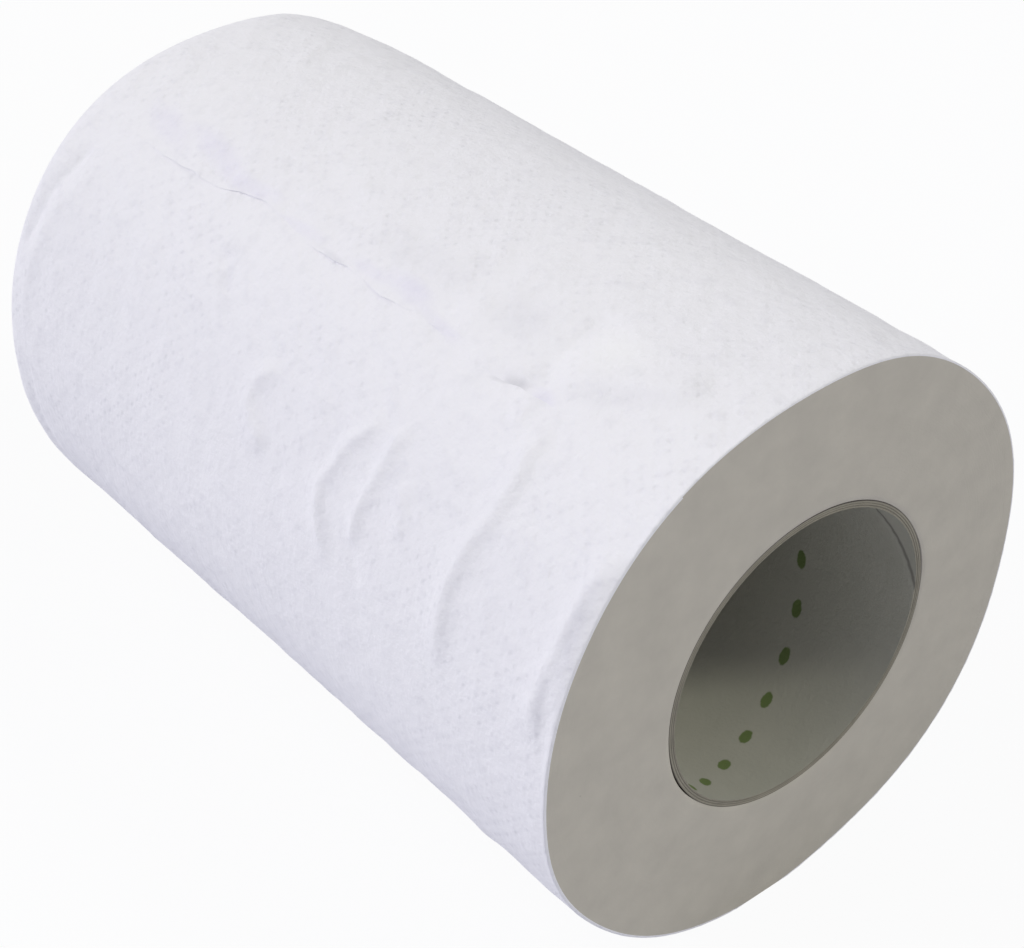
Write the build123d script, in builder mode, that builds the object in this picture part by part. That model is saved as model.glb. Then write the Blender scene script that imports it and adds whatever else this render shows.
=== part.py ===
"""Small roll of embossed cleaning paper, lying on its side, in millimetres.

The core's axis runs along Y, straight above the origin, and the open end that shows
best faces -Y. Angles go anticlockwise from +X, as seen from that near end. Soft paper
sags, so the roll is out of round and has a flat spot where it lies on the table.
"""

import os
from math import cos, radians, sin

from build123d import *

os.makedirs("parts", exist_ok=True)

# Roll and core
roll_width = 200.0
paper_radius = 65.7
sheet_thickness = 0.4
core_outer_radius = 35.7
core_wall = 1.5
core_end_inset = 0.3

# Ends of the roll, where the cut edges of the sheet have gone soft
near_rim_depth = 1.6
near_rim_inset = 0.9
far_rim_depth = 4.5
far_rim_inset = 1.0
rim_shoulder_depth_share = 0.35
rim_shoulder_inset_share = 0.4

# Turns that show on both ends as one spiral slit between the core and the tail
turns_shown = 7
slit_width = 0.45
slit_depth = 0.5
spiral_first_share = 0.07
spiral_last_share = 0.88
spiral_step = 10

# Outline of the outermost turn: its radius at each angle, as a share of paper_radius
outline_step = 15
outline_shares = {
    -180: 1.029, -165: 1.037, -150: 1.036, -135: 1.033, -120: 1.030, -105: 1.015,
    -90: 0.996, -75: 0.981, -60: 0.988, -45: 0.994, -30: 0.984, -15: 0.966,
    0: 0.963, 15: 0.982, 30: 1.000, 45: 1.010, 60: 1.023, 75: 1.026,
    90: 1.014, 105: 1.020, 120: 1.037, 135: 1.042, 150: 1.036, 165: 1.031,
}  # fmt: skip

# Edge of the tail, where the sheet ends, as an angle round the roll
tail_angle = 122.5

# Flat spot under the roll, and how far it lies below the core's axis
flat_left_share = -0.215
flat_right_share = 0.110
axis_height_share = 0.988
axis_height = axis_height_share * paper_radius

# Folds that stand out of the outer sheet, and long creases pressed into it. Each row has
# the angle round the roll and the distance from the near end, as a share of roll_width,
# at its start and at its end. Its height, below zero for a crease, and the radius of its
# back follow, as shares of paper_radius.
fold_shares = (
    (121, 0.182, 171, 0.187, 0.0110, 0.052),
    (122, 0.222, 137, 0.225, 0.0075, 0.030),
    (120, 0.212, 107, 0.100, 0.0080, 0.030),
    (120, 0.238, 99, 0.244, 0.0080, 0.030),
    (117, 0.050, 162, 0.054, 0.0070, 0.060),
    (124, 0.163, 167, 0.167, -0.0055, 0.045),
    (128, 0.966, 192, 0.962, -0.0070, 0.060),
)
fold_end_share = 0.4

# Short dents, each as a straight round bar leaves it. A row has the angle and the distance
# of its middle, its turn away from the roll's round, its depth and the bar's radius.
dent_shares = (
    (151, 0.317, -4, 0.0085, 0.075),
    (149, 0.378, -5, 0.0080, 0.070),
    (150, 0.502, -7, 0.0075, 0.110),
    (135, 0.648, -5, 0.0050, 0.060),
)
dent_bar_share = 0.40

# Spot where the tail is pressed down and glued, as a round dent
glue_angle = 121.5
glue_along_share = 0.231
glue_depth_share = 0.012
glue_ball_share = 0.100


def outline_radius(angle):
    """Radius of the outermost turn at any angle, straight between the shares' angles."""
    steps = (angle + 180) % 360 / outline_step
    before = int(steps) * outline_step - 180
    after = (before + outline_step + 180) % 360 - 180
    blend = steps - int(steps)
    return paper_radius * (outline_shares[before] * (1 - blend) + outline_shares[after] * blend)


def on_section(angle, radius):
    """Point of a cross-section at an angle and a radius about the core's axis."""
    return (radius * cos(radians(angle)), axis_height + radius * sin(radians(angle)))


def outline_points(inset):
    """Points of the outermost turn, drawn in by a distance towards the core.

    The first list starts under the tail, one sheet further in, and runs anticlockwise to
    the left end of the flat spot. The second starts at its right end and runs up to the
    tail's edge, where the sheet ends in a small step.
    """
    shrink = 1 - inset / paper_radius
    floor = axis_height * (1 - shrink)
    tail_radius = outline_radius(tail_angle) * shrink
    down_angles = (135, 150, 165, 180, 195, 210, 225, 240, 255)
    up_angles = (-75, -60, -45, -30, -15, 0, 15, 30, 45, 60, 75, 90, 105)
    down = [on_section(angle, outline_radius(angle) * shrink) for angle in down_angles]
    up = [on_section(angle, outline_radius(angle) * shrink) for angle in up_angles]
    down.insert(0, on_section(tail_angle, tail_radius - sheet_thickness))
    down.append((flat_left_share * paper_radius * shrink, floor))
    up.insert(0, (flat_right_share * paper_radius * shrink, floor))
    up.append(on_section(tail_angle, tail_radius))
    return down, up


def spiral_points(offset):
    """Points of one side of the spiral slit, moved outwards by an offset.

    Every turn starts a little further out than the last. The inner turns are round as
    the core is, and the outer ones take the outline's shape more and more.
    """
    steps = turns_shown * 360 // spiral_step
    points = []
    for step in range(steps + 1):
        angle = tail_angle + (step - steps) * spiral_step
        depth_share = spiral_first_share + (spiral_last_share - spiral_first_share) * step / steps
        pile = outline_radius(angle) - core_outer_radius
        points.append(on_section(angle, core_outer_radius + depth_share * pile + offset))
    return points


def arcs_through(points):
    """Chain of arcs through an odd number of points, each over three of them."""
    for first in range(0, len(points) - 2, 2):
        ThreePointArc(points[first : first + 3])


def over_surface(angle, along_share, lift):
    """Point in space at a height over the outermost turn."""
    x, z = on_section(angle, outline_radius(angle) + lift)
    return Vector(x, roll_width * (along_share - 1 / 2), z)


def bar_course(row):
    """Three points of the arc that a fold's round bar follows.

    The bar's back runs out under the surface at both ends and stands out of it by the
    fold's height in the middle. For a crease this is turned round, so that the bar lies
    on the surface and is cut out of it.
    """
    first_angle, first_along, last_angle, last_along, height_share, back_share = row
    back_sign = 1 if height_share > 0 else -1
    places = (
        (first_angle, first_along, -fold_end_share),
        ((first_angle + last_angle) / 2, (first_along + last_along) / 2, 1),
        (last_angle, last_along, -fold_end_share),
    )
    points = []
    for angle, along, lift_share in places:
        lift = (lift_share * height_share - back_sign * back_share) * paper_radius
        points.append(over_surface(angle, along, lift))
    return points


near_end = roll_width / 2
far_end = -roll_width / 2

# Sections of a soft rim: how deep each lies and how far it is drawn in
rim_sections = ((1, 0), (rim_shoulder_depth_share, rim_shoulder_inset_share), (0, 1))

with BuildPart() as wound_paper:
    # Straight body between the soft rims
    body_down, body_up = outline_points(0)
    with BuildSketch(Plane.XZ.offset(near_end - near_rim_depth)):
        with BuildLine():
            arcs_through(body_down)
            Line(body_down[-1], body_up[0])
            arcs_through(body_up)
            Line(body_up[-1], body_down[0])
        make_face()
    extrude(amount=near_rim_depth + far_rim_depth - roll_width)
    # Soft rims: a shoulder and the cut edge, each drawn in a little more
    for end, depth, inset in (
        (near_end, near_rim_depth, near_rim_inset),
        (far_end, -far_rim_depth, far_rim_inset),
    ):
        for depth_share, inset_share in rim_sections:
            rim_down, rim_up = outline_points(inset_share * inset)
            with BuildSketch(Plane.XZ.offset(end - depth_share * depth)):
                with BuildLine():
                    arcs_through(rim_down)
                    Line(rim_down[-1], rim_up[0])
                    arcs_through(rim_up)
                    Line(rim_up[-1], rim_down[0])
                make_face()
        loft(ruled=True)
    # Folds and long creases
    for row in fold_shares:
        height_share, back_share = row[4:]
        with BuildLine() as course:
            ThreePointArc(bar_course(row))
        with BuildSketch(Plane(origin=course.line @ 0, z_dir=course.line % 0)):
            Circle(back_share * paper_radius)
        sweep(path=course.line, mode=Mode.ADD if height_share > 0 else Mode.SUBTRACT)
    # Short dents
    for angle, along, turn, depth_share, back_share in dent_shares:
        middle = over_surface(angle, along, (back_share - depth_share) * paper_radius)
        round_way = Vector(-sin(radians(angle)), 0, cos(radians(angle)))
        bar_way = round_way * cos(radians(turn)) + Vector(0, sin(radians(turn)), 0)
        with BuildSketch(Plane(origin=middle, z_dir=bar_way)):
            Circle(back_share * paper_radius)
        extrude(amount=dent_bar_share * paper_radius, both=True, mode=Mode.SUBTRACT)
    # Pressed glue spot
    glue_lift = (glue_ball_share - glue_depth_share) * paper_radius
    with Locations(over_surface(glue_angle, glue_along_share, glue_lift)):
        Sphere(glue_ball_share * paper_radius, mode=Mode.SUBTRACT)
    # Seat of the core
    with BuildSketch(Plane.XZ):
        with Locations((0, axis_height)):
            Circle(core_outer_radius)
    extrude(amount=roll_width, both=True, mode=Mode.SUBTRACT)
    # Slit between the turns, at both ends
    for station, depth in ((near_end, -slit_depth), (far_end, slit_depth)):
        with BuildSketch(Plane.XZ.offset(station)):
            inner_side = spiral_points(0)
            outer_side = spiral_points(slit_width)
            with BuildLine():
                Polyline(*inner_side, *reversed(outer_side), close=True)
            make_face()
        extrude(amount=depth, mode=Mode.SUBTRACT)
wound_paper.part.label = "wound_paper"
export_step(wound_paper.part, "parts/wound_paper.step")

# Cardboard core
with BuildPart() as cardboard_core:
    with BuildSketch(Plane.XZ):
        with Locations((0, axis_height)):
            Circle(core_outer_radius)
            Circle(core_outer_radius - core_wall, mode=Mode.SUBTRACT)
    extrude(amount=roll_width / 2 - core_end_inset, both=True)
cardboard_core.part.label = "cardboard_core"
export_step(cardboard_core.part, "parts/cardboard_core.step")
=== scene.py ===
"""Looks of a small roll of embossed cleaning paper on its cardboard core.

All lengths are metres, in the part's own frame: the core's axis runs along Y and the end
that shows best faces -Y. Angles are degrees, anticlockwise from +X as seen from that end.
A depth is a distance along the roll from it, and an arc is a distance round the roll.
"""

import bpy
import numpy as np
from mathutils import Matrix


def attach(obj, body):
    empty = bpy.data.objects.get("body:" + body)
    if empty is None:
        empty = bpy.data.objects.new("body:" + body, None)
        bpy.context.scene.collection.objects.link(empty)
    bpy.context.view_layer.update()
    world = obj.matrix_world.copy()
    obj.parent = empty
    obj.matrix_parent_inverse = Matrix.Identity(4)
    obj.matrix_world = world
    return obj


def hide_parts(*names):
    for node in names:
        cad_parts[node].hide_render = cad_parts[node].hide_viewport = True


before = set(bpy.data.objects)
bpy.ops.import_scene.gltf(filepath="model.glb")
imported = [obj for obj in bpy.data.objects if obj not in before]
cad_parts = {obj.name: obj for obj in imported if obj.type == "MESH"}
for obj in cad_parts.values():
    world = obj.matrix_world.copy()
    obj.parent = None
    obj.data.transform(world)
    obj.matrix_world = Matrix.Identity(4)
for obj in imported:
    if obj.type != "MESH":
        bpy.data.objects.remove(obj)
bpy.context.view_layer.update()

MM = 0.001

# Roll and core
ROLL_WIDTH = 200.0 * MM
PAPER_RADIUS = 65.7 * MM
SHEET = 0.4 * MM
AXIS_HEIGHT = 0.988 * PAPER_RADIUS
CORE_OUTER = 35.7 * MM
CORE_INNER = 34.2 * MM
CORE_END = 99.7 * MM
TAIL_ANGLE = 122.5

# Radius of the outermost turn every 15 degrees from -180 on, as shares of PAPER_RADIUS
OUTLINE_SHARES = np.array([
    1.029, 1.037, 1.036, 1.033, 1.030, 1.015, 0.996, 0.981, 0.988, 0.994, 0.984, 0.966,
    0.963, 0.982, 1.000, 1.010, 1.023, 1.026, 1.014, 1.020, 1.037, 1.042, 1.036, 1.031,
])  # fmt: skip

# Soft rims: how deep each reaches along the roll, and how far it is drawn in. The relief of
# the sheet fades out towards both ends.
NEAR_RIM = (0.32 * MM, 0.24 * MM)
FAR_RIM = (4.5 * MM, 1.0 * MM)
RELIEF_FADE = 1.5 * MM

# Pressed dots: how many of their periods go round the roll and along it
PERIODS_ROUND = 112
PERIODS_ALONG = 53
STEPS_PER_PERIOD = 4
ROUND_PERIOD = 2 * np.pi * PAPER_RADIUS / PERIODS_ROUND
ALONG_PERIOD = ROLL_WIDTH / PERIODS_ALONG
DOT_DEPTH = 0.05 * MM

# The outermost turns are a skin of their own, this thick. The inner turns reach under it.
SHELL = 2.8 * MM
SHELL_TUCK = 0.3 * MM

# White ring that the outermost sheet shows on the near and on the far end face
END_RINGS = (0.12 * MM, 0.5 * MM)

# Screw lines inside the core: how far each turn goes along, and where the row of printed
# dashes and the seam of the innermost ply cross angle zero
HELIX_LEAD = 82.0 * MM
DASH_START = 34.8 * MM
DASH_PITCH = 10.99 * MM
DASH_HALF_LENGTH = 2.3 * MM
DASH_HALF_WIDTH = 1.35 * MM
SEAM_START = 0.0 * MM

# Lip of the innermost ply at its seam: its height, how fast it rises and how far it fades
LIP_HEIGHT = 0.25 * MM
LIP_RISE = 0.7 * MM
LIP_FADE = 9.0 * MM


def outline_radius(angle):
    """Radius of the outermost turn: the smooth sum of waves through the listed shares."""
    waves = np.fft.rfft(OUTLINE_SHARES) / len(OUTLINE_SHARES)
    count = np.arange(len(waves))
    weight = np.where((count == 0) | (count == len(waves) - 1), 1, 2)
    turns = np.exp(1j * count * np.radians(np.asarray(angle)[..., None] + 180))
    return PAPER_RADIUS * np.real(turns @ (waves * weight))


def smooth_step(value):
    """Rises from 0 to 1 with level ends while the value goes from 0 to 1."""
    value = np.clip(value, 0, 1)
    return value * value * (3 - 2 * value)


def around(angle, middle):
    """Angle less the middle one, brought to between -180 and 180."""
    return (np.asarray(angle) - middle + 180) % 360 - 180


def arc_mm(angle, middle):
    """Distance in mm round the roll from the middle angle."""
    return around(angle, middle) * PAPER_RADIUS / MM * np.pi / 180


# Folds of the outer sheet. Each has the points of its course as (angle, depth in mm), its
# height in mm, below zero for a crease, and its widths in mm towards lower and higher depth.
FOLDS = (
    # The long fold that runs down the left side from the glue spot
    (((122, 33.6), (129, 32.6), (135, 31.4), (141, 31.7), (147, 33.7), (155, 35), (165, 34.2),
      (172, 33)), 1.4, 1.9, 4.4),
    (((121, 41), (125, 40), (129, 40.5)), 0.5, 1.6, 2.0),
    # The crest from the glue spot towards the near rim, and the crease to the upper right
    (((119, 43), (114, 32.1), (109, 21.6), (104, 12.8)), 1.1, 3.6, 7.0),
    (((120.5, 45), (115.6, 44.6), (110, 44.5), (101, 45)), -0.9, 6.0, 3.6),
    # Crescents beside the long fold
    (((145, 55.5), (149, 54.5), (155, 51.5)), 0.5, 1.6, 2.0),
    (((138, 59), (141, 62.1), (146, 62.9), (150.5, 63.6), (156, 64.7), (163, 63)),
     1.1, 1.5, 2.2),
    (((139, 66), (141.6, 69.6), (146.5, 73.9), (150, 74.7), (155, 77.3), (159, 76.4),
      (164, 73.4), (168, 69)), 1.15, 1.6, 3.0),
    (((142, 101), (148, 106), (151.5, 105.9), (154.2, 103), (158, 96)), 1.15, 2.0, 3.4),
    (((154, 92), (158, 90.5), (162, 91)), -0.4, 1.8, 1.8),
    (((160, 66), (164, 62), (168, 60)), -0.5, 1.8, 2.2),
    (((131, 134.5), (135, 129.8), (139, 124.5)), -0.5, 2.2, 2.2),
    # Crumpled strip along the near rim
    (((132, 1.6), (138, 3.6), (143, 4.4), (149.6, 4.8), (156, 5.2), (161.5, 6.4), (170, 6.4)),
     1.4, 3.8, 3.4),
    (((144, 4.2), (150, 3.4), (156.5, 4.2), (164, 3.0), (171, 3.2)), -0.35, 1.0, 1.0),
    (((160, 1.6), (166, 2.2), (173, 1.6)), -0.3, 0.9, 0.9),
    # Crease at the far rim
    (((128, 189), (135, 190.7), (141, 193.6), (147, 195), (156, 197)), -0.9, 2.0, 1.6),
    (((134, 184), (143, 189), (153, 192), (172, 193)), 0.5, 3.0, 2.4),
    (((176, 192), (190, 193.5), (206, 192)), -0.45, 2.6, 2.2),
    # Ripples behind the tail and further up
    (((118, 72), (112, 66), (106, 62)), 0.35, 2.6, 2.6),
    (((118, 92), (112, 84), (106, 78)), 0.45, 2.2, 2.2),
    (((119, 108), (113, 102), (107, 98)), 0.40, 2.2, 2.2),
    (((116, 128), (110, 121), (105, 116)), 0.40, 2.2, 2.2),
    (((120, 147), (116, 142), (112, 138)), 0.45, 2.0, 2.0),
    (((94, 168), (85, 174), (77, 178)), 0.45, 2.4, 1.8),
    (((90, 160), (83, 165), (76, 168)), 0.27, 2.4, 2.0),
    # Faint slack folds on the right side and underneath
    (((30, 58), (12, 61), (-6, 60)), 0.26, 3.4, 2.4),
    (((26, 52), (10, 54), (-8, 53)), -0.20, 2.8, 2.6),
    (((-20, 128), (-36, 134), (-52, 131)), 0.26, 3.2, 2.4),
    (((44, 150), (30, 146), (18, 147)), 0.20, 2.8, 2.4),
    (((-118, 86), (-134, 90), (-150, 87)), 0.26, 3.0, 2.4),
    (((-140, 150), (-156, 155), (-170, 152)), 0.22, 3.0, 2.4),
    (((-128, 30), (-146, 27), (-160, 29)), 0.24, 2.6, 2.8),
    (((60, 188), (20, 190), (-30, 189)), -0.24, 3.0, 3.0),
    (((70, 8), (30, 9), (-20, 8)), 0.18, 3.0, 3.4),
)  # fmt: skip

# How sharp a fold's crest is, and the share of its course over which it fades in and out
CREST_POWER = 1.3
END_FADE = 0.2

# Round dents: middle angle and depth in mm, half sizes round and along in mm, how deep in
# mm. The first is the spot where the tail is pressed down and glued.
DENTS = (
    (122.2, 46.6, 1.5, 2.8, 0.15),
    # Hollows behind the tail
    (111, 57, 8.0, 9.0, 0.35),
    (109, 74, 5.0, 4.0, 0.22),
    (104, 87, 4.5, 5.0, 0.22),
    (110, 94, 4.0, 4.5, 0.24),
    (107, 104, 4.5, 4.0, 0.22),
    (112, 117, 4.0, 5.0, 0.24),
    (109, 128, 5.0, 4.0, 0.22),
    (105, 139, 4.0, 5.0, 0.18),
    # Hollows inside the crescents
    (151, 63, 12.0, 6.0, 0.25),
    (149, 76, 12.0, 6.0, 0.20),
    (150, 103, 12.0, 8.0, 0.22),
    # The tail's raised edge and the dip behind it
    (127, 110, 5.0, 45.0, -0.16),
    (114, 104, 8.0, 45.0, 0.12),
    # Slack on the right side and underneath
    (10, 110, 26.0, 30.0, 0.25),
    (-130, 60, 24.0, 30.0, 0.22),
)

# The far end stands out on the upper left and is crushed on the upper right. Rows are as in
# DENTS.
FAR_END_SHAPE = (
    (130, 212, 56.0, 48.0, -2.6),
    (43, 204, 26.0, 14.0, 4.0),
)

# Course of the tail's edge at each depth in mm: how far round it strays from TAIL_ANGLE, and
# how high its step is, both in mm. The step all but goes where the tail lies close.
TAIL_COURSE = np.array([
    (0, -0.6, 0.004), (45, -0.5, 0.004), (48, 0.2, 0.04), (53, 0.9, 0.05), (58, 0.6, 0.004),
    (66, 0.1, 0.03), (72, -0.5, 0.16), (78, -0.9, 0.03), (84, -0.4, 0.14), (88, 0.1, 0.30),
    (93, 0.2, 0.22), (97, -0.4, 0.02), (102, -0.8, 0.20), (107, -0.5, 0.32), (111, -0.1, 0.22),
    (115, 0.0, 0.03), (124, -1.5, 0.02), (130, -2.2, 0.12), (136, -2.2, 0.28), (143, -0.8, 0.26),
    (149, 0.8, 0.10), (153, 1.1, 0.20), (162, 1.4, 0.22), (171, 1.6, 0.24), (176, 1.8, 0.02),
    (200, 2.2, 0.004),
])  # fmt: skip

# How far round the roll the stray of the tail's edge and the step under it die away
STRAY_FADE = 14.0 * MM
STEP_FADE = 9.0 * MM

# Waves over the sheet: height in mm, waves once round, length along in mm, below zero where
# they lean the other way, and phase. The first table is the sheet's slack. The next two
# shift the pressed pattern round and along, because the sheet was stretched unevenly.
SLACK_WAVES = (
    (0.07, 5, 61, 0.4), (0.05, 8, -97, 1.9), (0.08, 3, 143, 2.7),
    (0.035, 11, 47, 4.1), (0.03, 14, -71, 5.2), (0.02, 19, 33, 0.9),
)  # fmt: skip
ROUND_SHIFT_WAVES = ((0.5, 3, 83, 0.4), (0.3, 9, -41, 2.0), (0.16, 17, 23, 1.0))
ALONG_SHIFT_WAVES = ((0.5, 4, -97, 1.1), (0.3, 7, 37, 5.0), (0.16, 19, -19, 3.0))

# The same for the torn line of the tail's edge and for the frayed near rim
TORN_WAVES = ((0.20, 0, 2 * np.pi * 3.3, 1), (0.12, 0, 2 * np.pi * 1.27, 0))
FRAY_WAVES = ((0.04, 31, np.inf, 1), (0.04, 67, np.inf, 2), (0.05, 112, np.inf, 0))

# Fine unevenness of the sheet: how many waves, how long they are in mm, and their height as
# a share of their length
CREPE_COUNT = 40
CREPE_LENGTHS = (5.0, 15.0)
CREPE_SHARE = 0.0012


def course_place(arc, depth, course):
    """Signed distance from a chain of straight runs, and the share of the way along it.

    Every point takes the nearest run. The distance is above zero on the far side.
    """
    nearest = np.full(arc.shape, np.inf)
    side = np.zeros(arc.shape)
    share = np.zeros(arc.shape)
    lengths = np.hypot(*np.diff(course, axis=0).T)
    done = 0.0
    for (start_arc, start_depth), (end_arc, end_depth), length in zip(course, course[1:], lengths):
        way_arc, way_depth = (end_arc - start_arc) / length, (end_depth - start_depth) / length
        run = np.clip((arc - start_arc) * way_arc + (depth - start_depth) * way_depth, 0, length)
        off_arc = arc - start_arc - run * way_arc
        off_depth = depth - start_depth - run * way_depth
        distance = np.hypot(off_arc, off_depth)
        closer = distance < nearest
        nearest = np.where(closer, distance, nearest)
        side = np.where(closer, np.sign(off_depth + 1e-12), side)
        share = np.where(closer, (done + run) / lengths.sum(), share)
        done += length
    return nearest * side, share


def bells(angle, depth, table):
    """Depth in metres of round dents: each is a bell curve round and along."""
    sunk = 0.0
    for middle, deep, half_round, half_along, press in table:
        round_part = (arc_mm(angle, middle) / half_round) ** 2
        along_part = ((depth / MM - deep) / half_along) ** 2
        sunk = sunk + press * MM * np.exp(-round_part - along_part)
    return sunk


def wave_sum(angle, depth, table):
    """Sum of the table's sine waves in metres: each closes on itself round the roll."""
    height = 0.0
    for size, count, length, phase in table:
        along = depth / MM * 2 * np.pi / length
        height = height + size * MM * np.sin(np.radians(angle) * count + along + phase)
    return height


def crepe(angle, depth):
    """Fine unevenness of the sheet: a seeded sum of small sine waves in all directions."""
    chance = np.random.default_rng(6)
    height = np.zeros(np.broadcast(angle, depth).shape)
    for _ in range(CREPE_COUNT):
        length = chance.uniform(*CREPE_LENGTHS)
        lean = chance.uniform(0, np.pi)
        phase = chance.uniform(0, 7)
        count = round(2 * np.pi * PAPER_RADIUS / MM / length * np.cos(lean))
        along = 2 * np.pi / length * np.sin(lean) * depth / MM
        height += CREPE_SHARE * length * np.sin(np.radians(angle) * count + along + phase)
    return height * MM


def sheet_relief(angle, depth):
    """Height of folds, dents and slack of the outer sheet over its plain outline.

    A fold falls off on both sides of its course as e to the power of less the distance
    over the width there, raised to CREST_POWER, and fades out at both ends.
    """
    depth_mm = depth / MM
    height = np.zeros(np.broadcast(angle, depth).shape)
    for course, rise, low_width, high_width in FOLDS:
        middle = course[len(course) // 2][0]
        arc = arc_mm(angle, middle)
        points = np.array([(arc_mm(turn, middle), deep) for turn, deep in course])
        distance, share = course_place(arc + 0 * depth_mm, depth_mm + 0 * arc, points)
        width = np.where(distance < 0, low_width, high_width)
        fade = smooth_step(share / END_FADE) * smooth_step((1 - share) / END_FADE)
        height += rise * fade * np.exp(-np.abs(distance / width) ** CREST_POWER)
    slack = wave_sum(angle, depth, SLACK_WAVES)
    return height * MM + slack + crepe(angle, depth) - bells(angle, depth, DENTS)


def rim_inset(angle, depth):
    """How far the soft rims are drawn in: a quarter of an ellipse at each end.

    The near rim is a little frayed, so its inset goes up and down round the roll.
    """
    near_left = np.clip(1 - depth / NEAR_RIM[0], 0, 1)
    far_left = np.clip(1 - (ROLL_WIDTH - depth) / FAR_RIM[0], 0, 1)
    near_depth = NEAR_RIM[1] + wave_sum(angle, depth, FRAY_WAVES)
    near = near_depth * (1 - np.sqrt(1 - near_left**2))
    far = FAR_RIM[1] * (1 - np.sqrt(1 - far_left**2))
    return near + far


def on_roll(angle, radius, depth):
    """Points at an angle, radius and depth, none of them below the floor."""
    turn = np.radians(angle)
    x, y, z = radius * np.cos(turn), depth - ROLL_WIDTH / 2, AXIS_HEIGHT + radius * np.sin(turn)
    return np.stack(np.broadcast_arrays(x, y, np.maximum(z, 0)), axis=-1)


def ring_mesh(name, points, places, once_round, kinds, materials, stepped=False):
    """A closed skin from a grid of points: rows go round the section, columns round the roll.

    Both directions close on themselves. The places are the skin's flat coordinates in
    metres, the length once round is what they gain in one turn, and the kinds say which
    material each row of faces takes. Only faces of the first material are shaded smooth.
    Where two materials meet the edge is sharp, and in a stepped skin the last column of
    faces is the low wall of a step, with sharp edges too.
    """
    rows, columns = points.shape[:2]
    index = np.arange(rows * columns).reshape(rows, columns)
    below = np.roll(index, -1, 0)
    corners = np.stack([index, below, np.roll(below, -1, 1), np.roll(index, -1, 1)], axis=-1)
    mesh = bpy.data.meshes.new(name)
    mesh.from_pydata(points.reshape(-1, 3), [], corners.reshape(-1, 4).tolist())
    beside = np.roll(places, -1, 1)
    beside[:, -1, 0] += once_round
    flat = np.stack([places, np.roll(places, -1, 0), np.roll(beside, -1, 0), beside], axis=2)
    layer = mesh.uv_layers.new(name="flat_sheet")
    layer.data.foreach_set("uv", flat.reshape(-1, 2).ravel().astype(np.float32))
    for material in materials:
        mesh.materials.append(material)
    mesh.polygons.foreach_set("material_index", np.repeat(kinds, columns).astype(np.int32))
    mesh.polygons.foreach_set("use_smooth", np.repeat(kinds == 0, columns))
    ends = np.empty(len(mesh.edges) * 2, np.int32)
    mesh.edges.foreach_get("vertices", ends)
    row, column = np.divmod(ends.reshape(-1, 2), columns)
    sharp = (row[:, 0] == row[:, 1]) & (kinds != np.roll(kinds, 1))[row[:, 0]]
    if stepped:
        sharp |= (column[:, 0] == column[:, 1]) & np.isin(column[:, 0], (0, columns - 1))
    mesh.attributes.new("sharp_edge", "BOOLEAN", "EDGE").data.foreach_set("value", sharp)
    mesh.update()
    piece = bpy.data.objects.new(name, mesh)
    bpy.context.scene.collection.objects.link(piece)
    return piece


# Finishes


def value_group(name, inputs, outputs):
    """An empty node group with the named sockets; the first input is a vector."""
    group = bpy.data.node_groups.new(name, "ShaderNodeTree")
    for order, socket in enumerate(inputs):
        kind = "NodeSocketFloat" if order else "NodeSocketVector"
        group.interface.new_socket(socket, in_out="INPUT", socket_type=kind)
    for socket in outputs:
        group.interface.new_socket(socket, in_out="OUTPUT", socket_type="NodeSocketFloat")
    given = group.nodes.new("NodeGroupInput")
    result = group.nodes.new("NodeGroupOutput")
    return group, group.nodes, group.links, given.outputs, result.inputs


def math_node(nodes, links, operation, first, second=None, third=None):
    """One step of arithmetic; each value is a number or the output of another node."""
    node = nodes.new("ShaderNodeMath")
    node.operation = operation
    for socket, value in zip(node.inputs, (first, second, third)):
        if value is None:
            continue
        if isinstance(value, (int, float)):
            socket.default_value = value
        else:
            links.new(value, socket)
    return node.outputs[0]


def noise_value(nodes, links, place, scale, detail):
    """Noise between 0 and 1; the scale is a number or the output of another node."""
    noise = nodes.new("ShaderNodeTexNoise")
    noise.inputs["Detail"].default_value = detail
    noise.inputs["Roughness"].default_value = 0.6
    links.new(place, noise.inputs["Vector"])
    if isinstance(scale, float):
        noise.inputs["Scale"].default_value = scale
    else:
        links.new(scale, noise.inputs["Scale"])
    return noise.outputs["Fac"]


def eased(nodes, links, value, low, high):
    """The value eased from 0 at the low mark to 1 at the high one."""
    ease = nodes.new("ShaderNodeMapRange")
    ease.interpolation_type = "SMOOTHSTEP"
    links.new(value, ease.inputs["Value"])
    ease.inputs["From Min"].default_value = low
    ease.inputs["From Max"].default_value = high
    return ease.outputs["Result"]


def fibre_group():
    """Soft mottling and fine grain of paper and board: two noises, one coarse, one fine."""
    sockets = ("Place", "Fine Scale", "Coarse Scale"), ("Grain", "Mottle")
    group, nodes, links, given, result = value_group("fibre_grain", *sockets)
    links.new(noise_value(nodes, links, given["Place"], given["Fine Scale"], 4), result["Grain"])
    links.new(noise_value(nodes, links, given["Place"], given["Coarse Scale"], 3), result["Mottle"])
    return group


def dots_group():
    """Pressed dots in a staggered net: one wave round times one wave along, squared."""
    group, nodes, links, given, result = value_group("pressed_dots", ("Place",), ("Dots",))
    split = nodes.new("ShaderNodeSeparateXYZ")
    links.new(given["Place"], split.inputs[0])
    round_wave = math_node(nodes, links, "MULTIPLY", split.outputs["X"], 2 * np.pi / ROUND_PERIOD)
    along_wave = math_node(nodes, links, "MULTIPLY", split.outputs["Y"], 2 * np.pi / ALONG_PERIOD)
    round_wave = math_node(nodes, links, "COSINE", round_wave)
    along_wave = math_node(nodes, links, "COSINE", along_wave)
    product = math_node(nodes, links, "MULTIPLY", round_wave, along_wave)
    raised = math_node(nodes, links, "MAXIMUM", product, 0.0)
    links.new(math_node(nodes, links, "POWER", raised, 2.0), result["Dots"])
    return group


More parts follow.
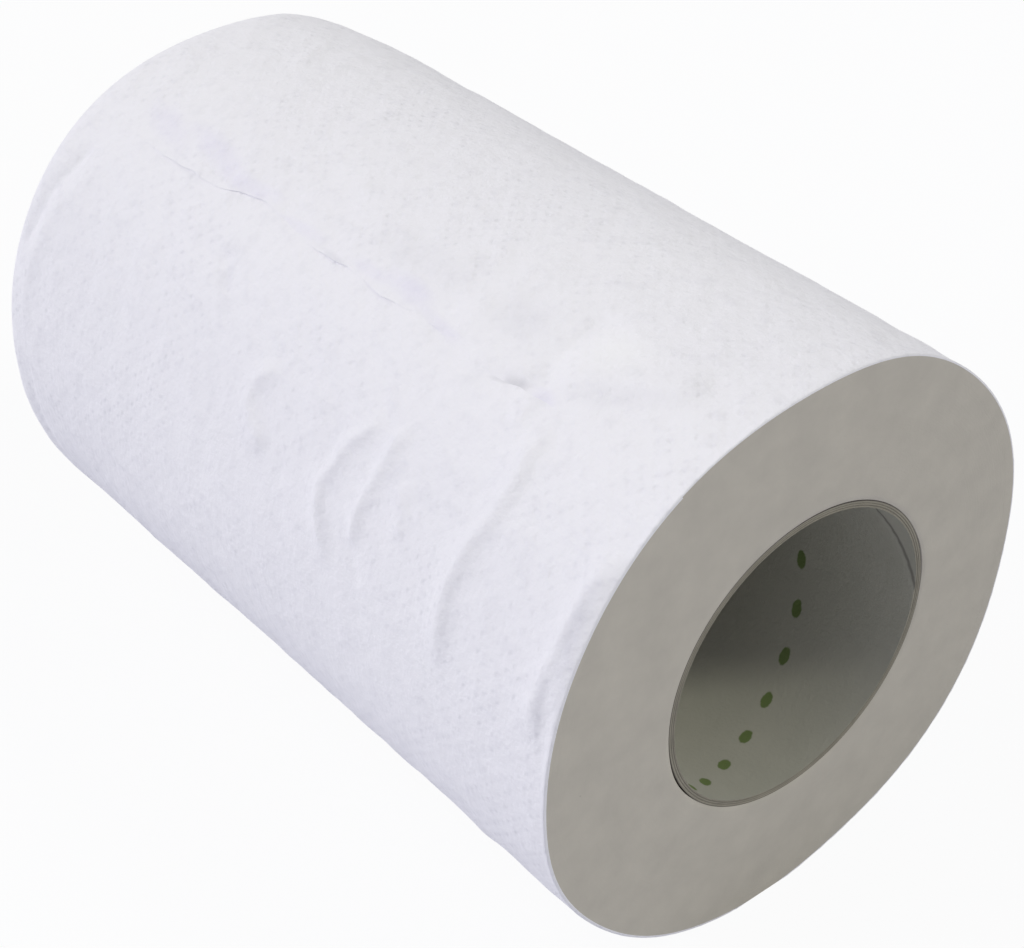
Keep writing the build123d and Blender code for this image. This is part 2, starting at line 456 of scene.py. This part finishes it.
def helix_group():
    """Places along and across a line that winds inside the core like a screw thread.

    The line starts at a depth at angle zero. Along is the way run on it, and Across the
    distance from its nearest turn.
    """
    sockets = ("Place", "Start"), ("Along", "Across")
    group, nodes, links, given, result = value_group("helix_rows", *sockets)
    once_round = 2 * np.pi * CORE_INNER
    slope = HELIX_LEAD / once_round
    lean = np.arctan(slope)
    split = nodes.new("ShaderNodeSeparateXYZ")
    links.new(given["Place"], split.inputs[0])
    past_start = math_node(nodes, links, "SUBTRACT", split.outputs["Y"], given["Start"])
    rise = math_node(nodes, links, "MULTIPLY_ADD", split.outputs["X"], -slope, past_start)
    turn = math_node(nodes, links, "ROUND", math_node(nodes, links, "DIVIDE", rise, HELIX_LEAD))
    left = math_node(nodes, links, "MULTIPLY_ADD", turn, -HELIX_LEAD, rise)
    links.new(math_node(nodes, links, "MULTIPLY", left, np.cos(lean)), result["Across"])
    arc = math_node(nodes, links, "MULTIPLY_ADD", turn, once_round, split.outputs["X"])
    run = math_node(nodes, links, "MULTIPLY", arc, np.cos(lean))
    run = math_node(nodes, links, "MULTIPLY_ADD", past_start, np.sin(lean), run)
    links.new(run, result["Along"])
    return group


FIBRES = fibre_group()
DOTS = dots_group()
HELIX = helix_group()


def start_material(name, roughness):
    """A new material with its shader, and the two node lists."""
    material = bpy.data.materials.new(name)
    material.use_nodes = True
    nodes, links = material.node_tree.nodes, material.node_tree.links
    shader = nodes["Principled BSDF"]
    shader.inputs["Roughness"].default_value = roughness
    shader.inputs["Specular IOR Level"].default_value = 0.25
    return material, nodes, links, shader


def use_group(nodes, links, group, place, **values):
    """A shared node group at a place, with its other inputs as numbers."""
    node = nodes.new("ShaderNodeGroup")
    node.node_tree = group
    links.new(place, node.inputs["Place"])
    for socket, value in values.items():
        node.inputs[socket.replace("_", " ")].default_value = value
    return node.outputs


def mix_colour(nodes, links, share, first, second):
    """Blend of two colours; each is a plain colour or the output of another node."""
    mix = nodes.new("ShaderNodeMix")
    mix.data_type = "RGBA"
    links.new(share, mix.inputs[0])
    for slot_index, value in ((6, first), (7, second)):
        if isinstance(value, tuple):
            mix.inputs[slot_index].default_value = (*value, 1)
        else:
            links.new(value, mix.inputs[slot_index])
    return mix.outputs[2]


def stain(nodes, links, tone, mask, strength, colour):
    """The tone with a colour over it, as strong as the mask times the strength."""
    share = math_node(nodes, links, "MULTIPLY", mask, strength)
    return mix_colour(nodes, links, share, tone, colour)


def add_bump(nodes, links, height, distance, strength, below=None):
    """A bump from a height value, on top of another one where that is given."""
    bump = nodes.new("ShaderNodeBump")
    bump.inputs["Distance"].default_value = distance
    bump.inputs["Strength"].default_value = strength
    links.new(height, bump.inputs["Height"])
    if below is not None:
        links.new(below, bump.inputs["Normal"])
    return bump.outputs["Normal"]


def soft_spot(nodes, links, place, centre, half_sizes, turn):
    """A soft oval on the flat sheet: 1 in its middle, easing to 0 at its edge."""
    centring = nodes.new("ShaderNodeMapping")
    centring.vector_type = "TEXTURE"
    centring.inputs["Location"].default_value = (*centre, 0)
    centring.inputs["Rotation"].default_value = (0, 0, np.radians(turn))
    centring.inputs["Scale"].default_value = (half_sizes[0] * MM, half_sizes[1] * MM, 1)
    links.new(place, centring.inputs["Vector"])
    length = nodes.new("ShaderNodeVectorMath")
    length.operation = "LENGTH"
    links.new(centring.outputs[0], length.inputs[0])
    return eased(nodes, links, length.outputs["Value"], low=1.0, high=0.2)


def sheet_place(angle, depth_mm):
    """Flat coordinates on the outer sheet: its arc from the tail's edge, and its depth."""
    return (np.radians((angle - TAIL_ANGLE) % 360) * PAPER_RADIUS, depth_mm * MM)


# Soft spots on the sheet, all but the glue spot painted light and shade: middle angle and
# depth in mm, half sizes round and along in mm, turn in degrees, strength and colour
GLUE_GREY = (0.34, 0.33, 0.36)
PAINTED_LILAC_LIGHT = (0.73, 0.70, 0.86)
SHADE = (0.66, 0.65, 0.71)
PAINTED_HIGHLIGHT = (0.93, 0.925, 0.94)
SHADES = (
    # The glue spot, with a wider painted shade round its dent
    (122.0, 46.6, 2.3, 3.8, -6, 0.32, GLUE_GREY),
    (123.0, 50.6, 0.8, 3.6, -12, 0.18, GLUE_GREY),
    (121.6, 47.5, 4.0, 7.0, -8, 0.22, SHADE),
    # Painted lilac light at the loose tail's edge, where light comes through
    (119.0, 174, 5.0, 15, 14, 0.24, PAINTED_LILAC_LIGHT),
    (117.4, 156, 4.4, 17, 8, 0.30, PAINTED_LILAC_LIGHT),
    (119.0, 140, 3.4, 12, -6, 0.30, PAINTED_LILAC_LIGHT),
    (120.8, 121, 2.2, 12, -6, 0.22, PAINTED_LILAC_LIGHT),
    (120.4, 96, 2.6, 9, 0, 0.22, PAINTED_LILAC_LIGHT),
    (119.2, 84, 3.8, 11, 4, 0.36, PAINTED_LILAC_LIGHT),
    (120.8, 71, 2.2, 10, 0, 0.26, PAINTED_LILAC_LIGHT),
    (121.6, 39.5, 2.6, 4.4, 0, 0.34, PAINTED_LILAC_LIGHT),
    # Painted highlight on the facet by the crest from the glue spot towards the near rim, and
    # painted shade below the crest
    (110, 36, 8, 15, -29, 0.26, PAINTED_HIGHLIGHT),
    (106, 37, 8, 9, 0, 0.22, PAINTED_HIGHLIGHT),
    (114.4, 26, 3.2, 17, -29, 0.16, SHADE),
    # Soft shadow beside the tail
    (123.7, 163, 1.3, 9, 2, 0.34, SHADE),
    (121.4, 139, 1.5, 8, -12, 0.42, SHADE),
    (122.0, 107, 1.4, 7, 6, 0.40, SHADE),
    (122.9, 89, 1.2, 6, 0, 0.34, SHADE),
    # Shaded sides of the near rim's crumple, of dents and of folds
    (148, 2.2, 13, 2.4, 0, 0.50, SHADE),
    (163, 4.6, 8, 1.5, 0, 0.40, SHADE),
    (111, 57, 8, 9, 0, 0.24, SHADE),
    (113, 88, 7, 22, 0, 0.16, SHADE),
    (147, 60, 7, 3, 0, 0.14, SHADE),
    (135.5, 129, 4, 3.4, 0, 0.30, SHADE),
    (139, 125, 3, 4, 0, 0.20, SHADE),
)


def embossed_sheet():
    """Matt white paper: pressed dots, fine fibres, the glue spot, and painted light and shade."""
    material, nodes, links, shader = start_material("embossed_white_paper", 0.85)
    coordinates = nodes.new("ShaderNodeTexCoord")
    place, flat = coordinates.outputs["Object"], coordinates.outputs["UV"]
    dots = use_group(nodes, links, DOTS, flat)["Dots"]
    fibres = use_group(nodes, links, FIBRES, place, Fine_Scale=1300.0, Coarse_Scale=260.0)
    patches = use_group(nodes, links, FIBRES, place, Fine_Scale=38.0, Coarse_Scale=9.0)
    tone = mix_colour(nodes, links, patches["Mottle"], (0.857, 0.848, 0.884), (0.818, 0.805, 0.864))
    # The dots show in some patches and all but vanish in others
    strength = eased(nodes, links, patches["Grain"], low=0.34, high=0.62)
    strength = math_node(nodes, links, "MULTIPLY", strength, 0.8)
    unworn = eased(nodes, links, fibres["Mottle"], low=0.35, high=0.6)
    strength = math_node(nodes, links, "MULTIPLY_ADD", strength, unworn, 0.12)
    pressed = math_node(nodes, links, "MULTIPLY", dots, strength)
    blotch = eased(nodes, links, fibres["Mottle"], low=0.45, high=0.8)
    tone = stain(nodes, links, tone, blotch, 0.30, (0.70, 0.69, 0.75))
    # Painted shade in the pits of the pressed dots, which darkens them a little
    tone = stain(nodes, links, tone, pressed, 0.14, (0.56, 0.55, 0.62))
    # Painted shades, highlights and lilac light, and the glue spot, whose strength follows the
    # mottling
    uneven_share = math_node(nodes, links, "MULTIPLY_ADD", fibres["Mottle"], 1.4, 0.3)
    for angle, deep, half_round, half_along, turn, share, colour in SHADES:
        half_sizes = (half_round, half_along)
        spot = soft_spot(nodes, links, flat, sheet_place(angle, deep), half_sizes, turn)
        uneven = math_node(nodes, links, "MULTIPLY", spot, uneven_share)
        tone = stain(nodes, links, tone, uneven, share, colour)
    links.new(tone, shader.inputs["Base Color"])
    # Fibres, soft dimples and the rims of the dots, which are finer than the mesh
    normal = add_bump(nodes, links, fibres["Grain"], distance=0.3 * MM, strength=0.22)
    normal = add_bump(nodes, links, fibres["Mottle"], 1.2 * MM, 0.4, below=normal)
    normal = add_bump(nodes, links, pressed, -0.16 * MM, 0.8, below=normal)
    links.new(normal, shader.inputs["Normal"])
    return material


def sheet_edges():
    """Cut edges of the turns: warm grey, softly mottled, with fine lines along the turns."""
    material, nodes, links, shader = start_material("cut_paper_edges", 0.9)
    coordinates = nodes.new("ShaderNodeTexCoord")
    place = coordinates.outputs["Object"]
    fibres = use_group(nodes, links, FIBRES, place, Fine_Scale=1800.0, Coarse_Scale=110.0)
    # Noise stretched along the turns shows as fine lines
    stretch = nodes.new("ShaderNodeMapping")
    stretch.inputs["Scale"].default_value = (14, 2400, 1)
    links.new(coordinates.outputs["UV"], stretch.inputs["Vector"])
    lines = noise_value(nodes, links, stretch.outputs[0], 1.0, 3)
    tone = mix_colour(nodes, links, fibres["Mottle"], (0.455, 0.427, 0.382), (0.585, 0.548, 0.483))
    tone = stain(nodes, links, tone, lines, 0.07, (0.34, 0.31, 0.28))
    specks = noise_value(nodes, links, place, 420.0, 2)
    specks = eased(nodes, links, specks, low=0.74, high=0.80)
    tone = stain(nodes, links, tone, specks, 0.6, (0.30, 0.28, 0.25))
    links.new(tone, shader.inputs["Base Color"])
    normal = add_bump(nodes, links, fibres["Grain"], distance=0.2 * MM, strength=0.25)
    normal = add_bump(nodes, links, lines, 0.12 * MM, 0.25, below=normal)
    links.new(normal, shader.inputs["Normal"])
    return material


def grey_board():
    """Grey board inside the core, with a screw row of olive dashes and the ply's seam."""
    material, nodes, links, shader = start_material("grey_core_board", 0.8)
    coordinates = nodes.new("ShaderNodeTexCoord")
    place, flat = coordinates.outputs["Object"], coordinates.outputs["UV"]
    fibres = use_group(nodes, links, FIBRES, place, Fine_Scale=900.0, Coarse_Scale=55.0)
    tone = mix_colour(nodes, links, fibres["Mottle"], (0.375, 0.37, 0.322), (0.458, 0.446, 0.392))
    seam = use_group(nodes, links, HELIX, flat, Start=SEAM_START)["Across"]
    seam = math_node(nodes, links, "ABSOLUTE", seam)
    seam = eased(nodes, links, seam, low=0.7 * MM, high=0.1 * MM)
    tone = stain(nodes, links, tone, seam, 0.7, (0.13, 0.12, 0.11))
    # A dash covers the places where its oval's reach, made ragged by the grain, is under one
    row = use_group(nodes, links, HELIX, flat, Start=DASH_START)
    steps = math_node(nodes, links, "DIVIDE", row["Along"], DASH_PITCH)
    nearest = math_node(nodes, links, "ROUND", steps)
    from_middle = math_node(nodes, links, "SUBTRACT", steps, nearest)
    ragged = math_node(nodes, links, "MULTIPLY_ADD", fibres["Grain"], 0.7, -0.35)
    run_share = math_node(nodes, links, "MULTIPLY", from_middle, DASH_PITCH / DASH_HALF_LENGTH)
    side_share = math_node(nodes, links, "DIVIDE", row["Across"], DASH_HALF_WIDTH)
    reach = math_node(nodes, links, "MULTIPLY_ADD", side_share, side_share, ragged)
    reach = math_node(nodes, links, "MULTIPLY_ADD", run_share, run_share, reach)
    dash = eased(nodes, links, reach, low=1.1, high=0.6)
    tone = stain(nodes, links, tone, dash, 0.85, (0.09, 0.15, 0.015))
    links.new(tone, shader.inputs["Base Color"])
    normal = add_bump(nodes, links, fibres["Grain"], distance=0.4 * MM, strength=0.45)
    links.new(normal, shader.inputs["Normal"])
    return material


# Dark lines on the core's cut ends: radius, half width and strength
PLY_LINES = (
    (CORE_OUTER, 0.26 * MM, 0.9),
    (CORE_OUTER - 0.6 * MM, 0.16 * MM, 0.5),
    (CORE_OUTER - 1.1 * MM, 0.20 * MM, 0.6),
)


def board_edges():
    """Cut ends of the core: pale board with the dark lines between its plies."""
    material, nodes, links, shader = start_material("cut_board_edges", 0.85)
    coordinates = nodes.new("ShaderNodeTexCoord")
    place = coordinates.outputs["Object"]
    fibres = use_group(nodes, links, FIBRES, place, Fine_Scale=1500.0, Coarse_Scale=120.0)
    tone = mix_colour(nodes, links, fibres["Mottle"], (0.20, 0.185, 0.15), (0.36, 0.335, 0.275))
    flatten = nodes.new("ShaderNodeMapping")
    flatten.inputs["Location"].default_value = (0, 0, -AXIS_HEIGHT)
    flatten.inputs["Scale"].default_value = (1, 0, 1)
    links.new(place, flatten.inputs["Vector"])
    radius = nodes.new("ShaderNodeVectorMath")
    radius.operation = "LENGTH"
    links.new(flatten.outputs[0], radius.inputs[0])
    for line_radius, half_width, share in PLY_LINES:
        off = math_node(nodes, links, "SUBTRACT", radius.outputs["Value"], line_radius)
        off = math_node(nodes, links, "ABSOLUTE", off)
        line = eased(nodes, links, off, low=half_width, high=0.0)
        tone = stain(nodes, links, tone, line, share, (0.10, 0.09, 0.08))
    links.new(tone, shader.inputs["Base Color"])
    normal = add_bump(nodes, links, fibres["Grain"], distance=0.3 * MM, strength=0.4)
    links.new(normal, shader.inputs["Normal"])
    return material


WHITE_PAPER = embossed_sheet()
CUT_EDGES = sheet_edges()
GREY_BOARD = grey_board()
BOARD_EDGES = board_edges()


# Outer turns


def outer_turns():
    """The outermost turns with their loose tail, as one closed skin.

    Columns go once round the roll from the tail's foot to its top, which lies one sheet
    further out at the same angle. Rows go over the near end, along the outside, over the
    far end and back underneath.
    """
    columns = PERIODS_ROUND * STEPS_PER_PERIOD + 1
    turn = np.linspace(0, 1, columns)
    once_round = 2 * np.pi * PAPER_RADIUS
    rows = PERIODS_ALONG * STEPS_PER_PERIOD
    spaced = (np.arange(1, rows) / rows) * ROLL_WIDTH
    # A few more rows give the rims their rounding
    near_rows = np.array([0, 0.12, 0.4]) * MM
    far_rows = ROLL_WIDTH - np.array([0.45, 0.15, 0]) * MM
    depth = np.concatenate([near_rows, spaced, far_rows])[:, None]
    # The tail's edge strays by the table and its torn line, less and less further round
    course_depth, *course_values = TAIL_COURSE.T * MM
    stray, step = (np.interp(depth, course_depth, values) for values in course_values)
    stray = stray + wave_sum(0, depth, TORN_WAVES)
    from_edge = np.minimum(turn, 1 - turn) * once_round
    stray = stray * (1 - smooth_step(from_edge / STRAY_FADE))
    angle = TAIL_ANGLE + 360 * turn + np.degrees(stray / PAPER_RADIUS)
    # The sheet under the tail lies a step lower, and comes up from there
    lift = -step * (1 - smooth_step(turn * once_round / STEP_FADE))
    outline = outline_radius(angle)
    arc = np.radians(angle - TAIL_ANGLE) * PAPER_RADIUS
    arc = arc + wave_sum(angle, depth, ROUND_SHIFT_WAVES)
    across = depth + wave_sum(angle, depth, ALONG_SHIFT_WAVES)
    dots = np.cos(2 * np.pi * arc / ROUND_PERIOD) * np.cos(2 * np.pi * across / ALONG_PERIOD)
    relief = sheet_relief(angle, depth) - DOT_DEPTH * np.maximum(dots, 0)
    relief = relief * smooth_step(depth / RELIEF_FADE)
    relief = relief * smooth_step((ROLL_WIDTH - depth) / RELIEF_FADE)
    far_sink = bells(angle, depth, FAR_END_SHAPE)
    outside = outline + lift + relief - rim_inset(angle, depth) - far_sink
    near_line, far_line = outline[:1], outline[-1:] - far_sink[-1:]
    under = SHEET * (1 - turn)
    near_face = near_line - NEAR_RIM[1] - END_RINGS[0] - under
    far_face = far_line - FAR_RIM[1] - END_RINGS[1] - under
    back = np.concatenate([far_line - SHELL - under, near_line - SHELL - under])
    radii = np.concatenate([near_face, outside, far_face, back])
    angles = np.concatenate([angle[:1], angle, angle[-1:], angle[-1:], angle[:1]])
    depths = np.concatenate([[[0.0]], depth, [[ROLL_WIDTH], [ROLL_WIDTH], [0.0]]])
    points = on_roll(angles, radii, depths)
    # The end faces take flat places past the sheet's own, 1 mm at the rim and 2 mm inside
    beyond = MM * np.array([[-1.0], [1.0], [2.0], [-2.0]])
    ends = np.concatenate([across[:1], across[-1:], across[-1:], across[:1]]) + beyond
    flat_arcs = np.concatenate([arc[:1], arc, arc[-1:], arc[-1:], arc[:1]])
    flat_across = np.concatenate([ends[:1], across, ends[1:]])
    places = np.stack([flat_arcs, flat_across], axis=-1)
    # The end faces and the underside show cut edges
    kinds = np.zeros(len(radii), int)
    kinds[[-3, -2, -1]] = 1
    materials = [WHITE_PAPER, CUT_EDGES]
    return ring_mesh("outer_turns", points, places, once_round, kinds, materials, stepped=True)


paper = outer_turns()
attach(paper, "root")
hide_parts("wound_paper")


# Inner turns

# Gaps between the core and the paper: middle angle, half width in degrees, width in mm.
# Between them the paper stands off the core by the play.
CORE_GAPS = ((-156, 12, 0.32), (14, 12, 0.30), (75, 20, 0.15))
CORE_PLAY = 0.05 * MM

# How deep the end faces of the inner turns lie: at least, over most of them, and at the
# rounded edge beside the core. Spirals, each with its height in mm and its turns, swell them.
LEAST_SINK = 0.01 * MM
FACE_SINK = 0.05 * MM
EDGE_SINK = 0.25 * MM
FACE_SPIRALS = ((0.006, 9), (0.003, 23))

# Shares of the way out from the core: where its rounded edge ends, and from where to where
# the faces come up to the outermost turns
EDGE_ROUNDED = 0.025
FACE_RISE = (0.75, 0.97)


def inner_turns():
    """The turns from the core out to the outermost ones, as one closed skin.

    The end faces swell and sink a little from turn to turn, as sines along two spirals.
    Round the core the innermost turn stands off it in a few narrow gaps, each a bell curve.
    """
    columns = PERIODS_ROUND * STEPS_PER_PERIOD
    angle = TAIL_ANGLE + 360 * np.arange(columns) / columns
    # Rows from the core outwards, closer together at both edges
    share = np.concatenate([[0, 0.004], np.linspace(0.02, 0.99, 46), [0.997, 1]])[:, None]
    seat = CORE_OUTER + CORE_PLAY
    for middle, half_width, gap in CORE_GAPS:
        seat = seat + gap * MM * np.exp(-((around(angle, middle) / half_width) ** 2))
    outline = outline_radius(angle)
    far_outline = outline - bells(angle, ROLL_WIDTH, FAR_END_SHAPE)
    near_radius = seat + share * (outline - SHELL + SHELL_TUCK - seat)
    far_radius = seat + share * (far_outline - SHELL + SHELL_TUCK - seat)
    swell = 0.0
    for size, turns in FACE_SPIRALS:
        swell = swell + size * MM * np.sin(2 * np.pi * (share * turns + angle / 360))
    inner_edge = 1 - smooth_step(share / EDGE_ROUNDED)
    level = 1 - smooth_step((share - FACE_RISE[0]) / (FACE_RISE[1] - FACE_RISE[0]))
    dip = LEAST_SINK + (FACE_SINK + swell) * level + EDGE_SINK * inner_edge
    near = on_roll(angle, near_radius, dip)
    far = on_roll(angle, far_radius[::-1], ROLL_WIDTH - dip[::-1])
    points = np.concatenate([near, far])
    once_round = 2 * np.pi * PAPER_RADIUS
    arc = once_round * np.arange(columns) / columns
    across = np.concatenate([share, share[::-1]]) * (PAPER_RADIUS - CORE_OUTER)
    places = np.stack(np.broadcast_arrays(arc, across), axis=-1)
    kinds = np.zeros(len(points), int)
    return ring_mesh("inner_turns", points, places, once_round, kinds, [CUT_EDGES])


inner = inner_turns()
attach(inner, "root")


# Core

# Rings of the core's cut ends: how far each lies in from the outside wall and how deep
# behind the end. The two deep ones are the grooves between the plies.
CORE_END_RINGS = MM * np.array([
    (0.15, 0.0), (0.45, 0.0), (0.6, 0.12), (0.75, 0.0),
    (0.95, 0.0), (1.1, 0.12), (1.25, 0.0), (1.4, 0.05),
])  # fmt: skip


def seam_lip(angle, depth):
    """Share of the innermost ply's lip: it rises sharply at its seam and fades slowly."""
    slope = HELIX_LEAD / 360
    past = (depth - SEAM_START - slope * angle) % HELIX_LEAD
    return smooth_step(past / LIP_RISE) * (1 - smooth_step(past / LIP_FADE))


def core_tube():
    """The cardboard core as one closed skin: inside wall, cut edges and outside wall."""
    rows, columns = 180, 360
    angle = 360 * np.arange(columns) / columns
    along = np.linspace(-CORE_END, CORE_END, rows)[:, None] + ROLL_WIDTH / 2
    outside = along[[0, -1]]
    beyond, notch = CORE_END_RINGS[:, :1], CORE_END_RINGS[:, 1:]
    edge = CORE_OUTER - beyond + 0 * angle
    wall = CORE_INNER - LIP_HEIGHT * seam_lip(angle, along)
    radii = np.concatenate([CORE_OUTER + 0 * outside + 0 * angle, edge, wall[::-1], edge[::-1]])
    depths = np.concatenate([outside, along[-1] - notch, along[::-1], along[0] + notch[::-1]])
    points = on_roll(angle, radii, depths)
    once_round = 2 * np.pi * CORE_INNER
    across = np.concatenate([outside, along[-1] + beyond, along[::-1], along[0] - beyond[::-1]])
    places = np.stack(np.broadcast_arrays(once_round * angle / 360, across), axis=-1)
    # Only the inside wall shows the plain board
    kinds = np.ones(len(points), int)
    kinds[len(outside) + len(beyond) : -len(beyond) - 1] = 0
    return ring_mesh("core_tube", points, places, once_round, kinds, [GREY_BOARD, BOARD_EDGES])


core = core_tube()
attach(core, "root")
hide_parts("cardboard_core")


# Studio


def camera_ray_mix(nodes, links, plain, seen, share):
    """A shader of which the camera sees a share as another one."""
    path = nodes.new("ShaderNodeLightPath")
    direct = path.outputs["Is Camera Ray"]
    for ray in ("Is Glossy Ray", "Is Transmission Ray"):
        direct = math_node(nodes, links, "MAXIMUM", direct, path.outputs[ray])
    mix = nodes.new("ShaderNodeMixShader")
    links.new(math_node(nodes, links, "MULTIPLY", direct, share), mix.inputs[0])
    links.new(plain.outputs[0], mix.inputs[1])
    links.new(seen.outputs[0], mix.inputs[2])
    return mix.outputs[0]


def studio_floor(half_width, drop, colour, seen_share):
    """A wide pale floor that the camera sees nearly white, with the roll's soft shadow."""
    mesh = bpy.data.meshes.new("studio_floor")
    corners = half_width * np.array([(-1, -1), (1, -1), (1, 1), (-1, 1)])
    mesh.from_pydata([(x, y, -drop) for x, y in corners], [], [(0, 1, 2, 3)])
    material = bpy.data.materials.new("pale_floor")
    material.use_nodes = True
    nodes, links = material.node_tree.nodes, material.node_tree.links
    nodes.remove(nodes["Principled BSDF"])
    plain = nodes.new("ShaderNodeBsdfDiffuse")
    plain.inputs["Color"].default_value = (*colour, 1)
    seen = nodes.new("ShaderNodeEmission")
    seen.inputs["Color"].default_value = (1, 1, 1, 1)
    surface = camera_ray_mix(nodes, links, plain, seen, seen_share)
    links.new(surface, nodes["Material Output"].inputs["Surface"])
    mesh.materials.append(material)
    floor = bpy.data.objects.new("studio_floor", mesh)
    bpy.context.scene.collection.objects.link(floor)
    return floor


studio_floor(6.0, 0.2 * MM, (0.68, 0.69, 0.77), seen_share=0.94)


def studio_world(colour, strength):
    """Even light from all round, which the camera sees as white."""
    world = bpy.data.worlds.new("studio_world")
    world.use_nodes = True
    nodes, links = world.node_tree.nodes, world.node_tree.links
    plain = nodes["Background"]
    plain.inputs["Color"].default_value = (*colour, 1)
    plain.inputs["Strength"].default_value = strength
    seen = nodes.new("ShaderNodeBackground")
    seen.inputs["Color"].default_value = (1, 1, 1, 1)
    seen.inputs["Strength"].default_value = 1.0
    surface = camera_ray_mix(nodes, links, plain, seen, 1.0)
    links.new(surface, nodes["World Output"].inputs["Surface"])
    bpy.context.scene.world = world


def soft_lamp(name, towards, colour, strength, spread):
    """A distant soft lamp that shines along a direction, its spread in degrees."""
    lamp = bpy.data.lights.new(name, "SUN")
    lamp.color = colour
    lamp.energy = strength
    lamp.angle = np.radians(spread)
    lamp_object = bpy.data.objects.new(name, lamp)
    x, y, z = np.array(towards) / np.linalg.norm(towards)
    lamp_object.rotation_euler = (np.arccos(-z), 0, np.arctan2(-x, y))
    bpy.context.scene.collection.objects.link(lamp_object)


studio_world((0.945, 0.955, 1.0), strength=0.455)
# Two lamps behind the roll on the left bring out its folds, and one in front lights the end
soft_lamp("key_lamp", (0.72, -0.50, -0.48), (0.985, 0.985, 1.0), strength=1.05, spread=60)
soft_lamp("top_lamp", (0.50, -0.50, -0.70), (1.0, 0.995, 0.98), strength=0.62, spread=40)
soft_lamp("front_lamp", (-0.412, 0.57, -0.714), (1.0, 1.0, 0.84), strength=0.84, spread=14)

# Camera where the photo was taken from, as far as the core's two hole edges tell
camera = bpy.data.cameras.new("photo_camera")
camera.lens = 76.43
camera.sensor_width = 36.0
camera.clip_end = 50.0
camera_object = bpy.data.objects.new("photo_camera", camera)
camera_object.location = (-0.25523, -0.32042, 0.35380)
camera_object.rotation_euler = np.radians((53.817, 0.0, -39.243))
bpy.context.scene.collection.objects.link(camera_object)
bpy.context.scene.camera = camera_object

bpy.context.scene.view_settings.view_transform = "Standard"
